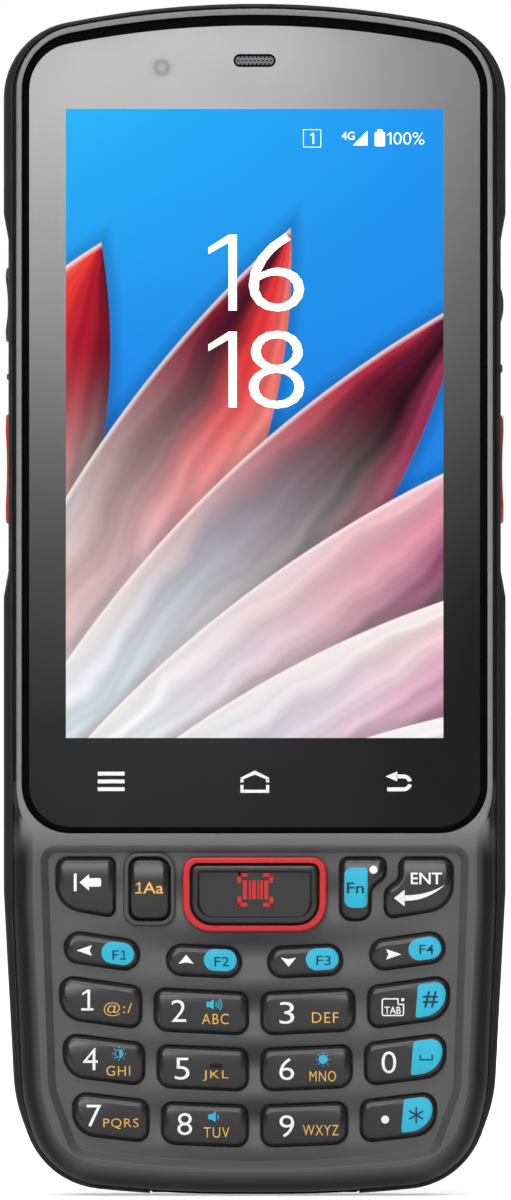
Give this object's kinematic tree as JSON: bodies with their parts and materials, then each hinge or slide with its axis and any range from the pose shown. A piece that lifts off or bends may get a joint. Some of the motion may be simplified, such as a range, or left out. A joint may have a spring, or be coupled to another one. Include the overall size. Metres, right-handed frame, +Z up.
{
  "type": "barcode data terminal",
  "caption": "Handheld barcode data terminal: touch screen over a sunk keypad, red scan buttons on both sides, raised scanner head and a removable battery door behind.",
  "frame": {"origin": "middle of the underside of the whole device, standing on its bottom end", "axes": "+Z up the device to its scanner end, -Y out of the screen, +X to the user's right"},
  "size_m": [0.069, 0.021, 0.1639],
  "materials": {
    "cover_grey": "moulded satin grey polycarbonate blend",
    "housing_black": "moulded fine-textured black polycarbonate blend",
    "cover_glass": "toughened cover glass with a black printed border",
    "seal_rubber": "black rubber seal",
    "display": "lit colour display",
    "module_black": "black moulded electronic module",
    "mesh_steel": "perforated grey mesh",
    "frame_metal": "die-cast light alloy",
    "mat_silicone": "grey silicone",
    "dome_steel": "stainless snap domes",
    "board_green": "glass-epoxy circuit board with green resist",
    "ring_grey": "satin dark grey plastic",
    "ring_red": "red plastic",
    "shield_tin": "tinned steel",
    "door_black": "moulded textured black plastic",
    "latch_black": "moulded black plastic",
    "battery_wrap": "black film-wrapped battery",
    "contact_gold": "gold-plated contacts",
    "scan_window": "dark red filter window",
    "camera_window": "dark camera window",
    "flash_lens": "clear flash lens",
    "connector_steel": "drawn steel socket",
    "port_rubber": "black rubber lid",
    "screw_steel": "black-finished steel",
    "button_red": "satin red plastic",
    "key_black": "satin black plastic key",
    "ink_white": "white printed ink",
    "ink_amber": "amber printed ink",
    "ink_cyan": "cyan printed ink",
    "ink_navy": "dark blue printed ink"
  },
  "bodies": {
    "casing": {"battery_contacts": "contact_gold", "battery_pack": "battery_wrap", "battery_seal": "seal_rubber", "cover_glass": "cover_glass", "display_panel": "display", "dock_contacts": "contact_gold", "dome_sheet": "dome_steel", "earpiece_mesh": "mesh_steel", "earpiece_receiver": "module_black", "flash_lens": "flash_lens", "front_camera": "module_black", "front_cover": "cover_grey", "glass_gasket": "seal_rubber", "housing_screws": "screw_steel", "key_ring_alpha": "ring_grey", "key_ring_scan": "ring_red", "keypad_board": "board_green", "keypad_mat": "mat_silicone", "lanyard_bar": "screw_steel", "loudspeaker": "module_black", "main_board": "board_green", "mid_frame": "frame_metal", "rear_camera": "module_black", "rear_camera_window": "camera_window", "rear_housing": "housing_black", "scan_engine": "module_black", "scan_window": "scan_window", "shield_cans": "shield_tin", "side_switches": "module_black", "usb_connector": "connector_steel", "vibration_motor": "shield_tin"},
    "key_back": {"key_back": "key_black"},
    "key_alpha": {"key_alpha": "key_black"},
    "key_scan": {"key_scan": "key_black"},
    "key_fn": {"key_fn": "key_black"},
    "key_enter": {"key_enter": "key_black"},
    "key_f1": {"key_f1": "key_black"},
    "key_f2": {"key_f2": "key_black"},
    "key_f3": {"key_f3": "key_black"},
    "key_f4": {"key_f4": "key_black"},
    "key_1": {"key_1": "key_black"},
    "key_2": {"key_2": "key_black"},
    "key_3": {"key_3": "key_black"},
    "key_tab": {"key_tab": "key_black"},
    "key_4": {"key_4": "key_black"},
    "key_5": {"key_5": "key_black"},
    "key_6": {"key_6": "key_black"},
    "key_0": {"key_0": "key_black"},
    "key_7": {"key_7": "key_black"},
    "key_8": {"key_8": "key_black"},
    "key_9": {"key_9": "key_black"},
    "key_dot": {"key_dot": "key_black"},
    "scan_button_left": {"scan_button_left": "button_red"},
    "scan_button_right": {"scan_button_right": "button_red"},
    "volume_rocker": {"volume_rocker": "key_black"},
    "power_button": {"power_button": "key_black"},
    "battery_cover": {"battery_cover": "door_black"},
    "battery_latch": {"battery_latch": "latch_black"},
    "port_cover": {"port_cover": "port_rubber"}
  },
  "joints": [
    {"name": "key_back_press", "type": "slide", "parent": "casing", "child": "key_back", "axis": [0, 1, 0], "range_m": [0, 0.0004], "stiffness_N_per_m": 500},
    {"name": "key_alpha_press", "type": "slide", "parent": "casing", "child": "key_alpha", "axis": [0, 1, 0], "range_m": [0, 0.0004], "stiffness_N_per_m": 500},
    {"name": "key_scan_press", "type": "slide", "parent": "casing", "child": "key_scan", "axis": [0, 1, 0], "range_m": [0, 0.0004], "stiffness_N_per_m": 500},
    {"name": "key_fn_press", "type": "slide", "parent": "casing", "child": "key_fn", "axis": [0, 1, 0], "range_m": [0, 0.0004], "stiffness_N_per_m": 500},
    {"name": "key_enter_press", "type": "slide", "parent": "casing", "child": "key_enter", "axis": [0, 1, 0], "range_m": [0, 0.0004], "stiffness_N_per_m": 500},
    {"name": "key_f1_press", "type": "slide", "parent": "casing", "child": "key_f1", "axis": [0, 1, 0], "range_m": [0, 0.0004], "stiffness_N_per_m": 500},
    {"name": "key_f2_press", "type": "slide", "parent": "casing", "child": "key_f2", "axis": [0, 1, 0], "range_m": [0, 0.0004], "stiffness_N_per_m": 500},
    {"name": "key_f3_press", "type": "slide", "parent": "casing", "child": "key_f3", "axis": [0, 1, 0], "range_m": [0, 0.0004], "stiffness_N_per_m": 500},
    {"name": "key_f4_press", "type": "slide", "parent": "casing", "child": "key_f4", "axis": [0, 1, 0], "range_m": [0, 0.0004], "stiffness_N_per_m": 500},
    {"name": "key_1_press", "type": "slide", "parent": "casing", "child": "key_1", "axis": [0, 1, 0], "range_m": [0, 0.0004], "stiffness_N_per_m": 500},
    {"name": "key_2_press", "type": "slide", "parent": "casing", "child": "key_2", "axis": [0, 1, 0], "range_m": [0, 0.0004], "stiffness_N_per_m": 500},
    {"name": "key_3_press", "type": "slide", "parent": "casing", "child": "key_3", "axis": [0, 1, 0], "range_m": [0, 0.0004], "stiffness_N_per_m": 500},
    {"name": "key_tab_press", "type": "slide", "parent": "casing", "child": "key_tab", "axis": [0, 1, 0], "range_m": [0, 0.0004], "stiffness_N_per_m": 500},
    {"name": "key_4_press", "type": "slide", "parent": "casing", "child": "key_4", "axis": [0, 1, 0], "range_m": [0, 0.0004], "stiffness_N_per_m": 500},
    {"name": "key_5_press", "type": "slide", "parent": "casing", "child": "key_5", "axis": [0, 1, 0], "range_m": [0, 0.0004], "stiffness_N_per_m": 500},
    {"name": "key_6_press", "type": "slide", "parent": "casing", "child": "key_6", "axis": [0, 1, 0], "range_m": [0, 0.0004], "stiffness_N_per_m": 500},
    {"name": "key_0_press", "type": "slide", "parent": "casing", "child": "key_0", "axis": [0, 1, 0], "range_m": [0, 0.0004], "stiffness_N_per_m": 500},
    {"name": "key_7_press", "type": "slide", "parent": "casing", "child": "key_7", "axis": [0, 1, 0], "range_m": [0, 0.0004], "stiffness_N_per_m": 500},
    {"name": "key_8_press", "type": "slide", "parent": "casing", "child": "key_8", "axis": [0, 1, 0], "range_m": [0, 0.0004], "stiffness_N_per_m": 500},
    {"name": "key_9_press", "type": "slide", "parent": "casing", "child": "key_9", "axis": [0, 1, 0], "range_m": [0, 0.0004], "stiffness_N_per_m": 500},
    {"name": "key_dot_press", "type": "slide", "parent": "casing", "child": "key_dot", "axis": [0, 1, 0], "range_m": [0, 0.0004], "stiffness_N_per_m": 500},
    {"name": "scan_button_left_press", "type": "slide", "parent": "casing", "child": "scan_button_left", "axis": [1, 0, 0], "range_m": [0, 0.00035], "stiffness_N_per_m": 600},
    {"name": "scan_button_right_press", "type": "slide", "parent": "casing", "child": "scan_button_right", "axis": [-1, 0, 0], "range_m": [0, 0.00035], "stiffness_N_per_m": 600},
    {"name": "power_button_press", "type": "slide", "parent": "casing", "child": "power_button", "axis": [-1, 0, 0], "range_m": [0, 0.00035], "stiffness_N_per_m": 500},
    {"name": "volume_rocker_tilt", "type": "hinge", "parent": "casing", "child": "volume_rocker", "pos_m": [-0.0315, -0.0019, 0.12255], "axis": [0, 1, 0], "range_deg": [-2.5, 2.5], "stiffness_Nm_per_rad": 0.02},
    {"name": "battery_latch_slide", "type": "slide", "parent": "casing", "child": "battery_latch", "axis": [0, 0, 1], "range_m": [0, 0.002], "stiffness_N_per_m": 200},
    {"name": "battery_cover_lift", "type": "slide", "parent": "casing", "child": "battery_cover", "axis": [0, 1, 0], "range_m": [0, 0.03]},
    {"name": "port_cover_hinge", "type": "hinge", "parent": "casing", "child": "port_cover", "pos_m": [0, 0.0012, 0.00095], "axis": [1, 0, 0], "range_deg": [0, 90]}
  ]
}
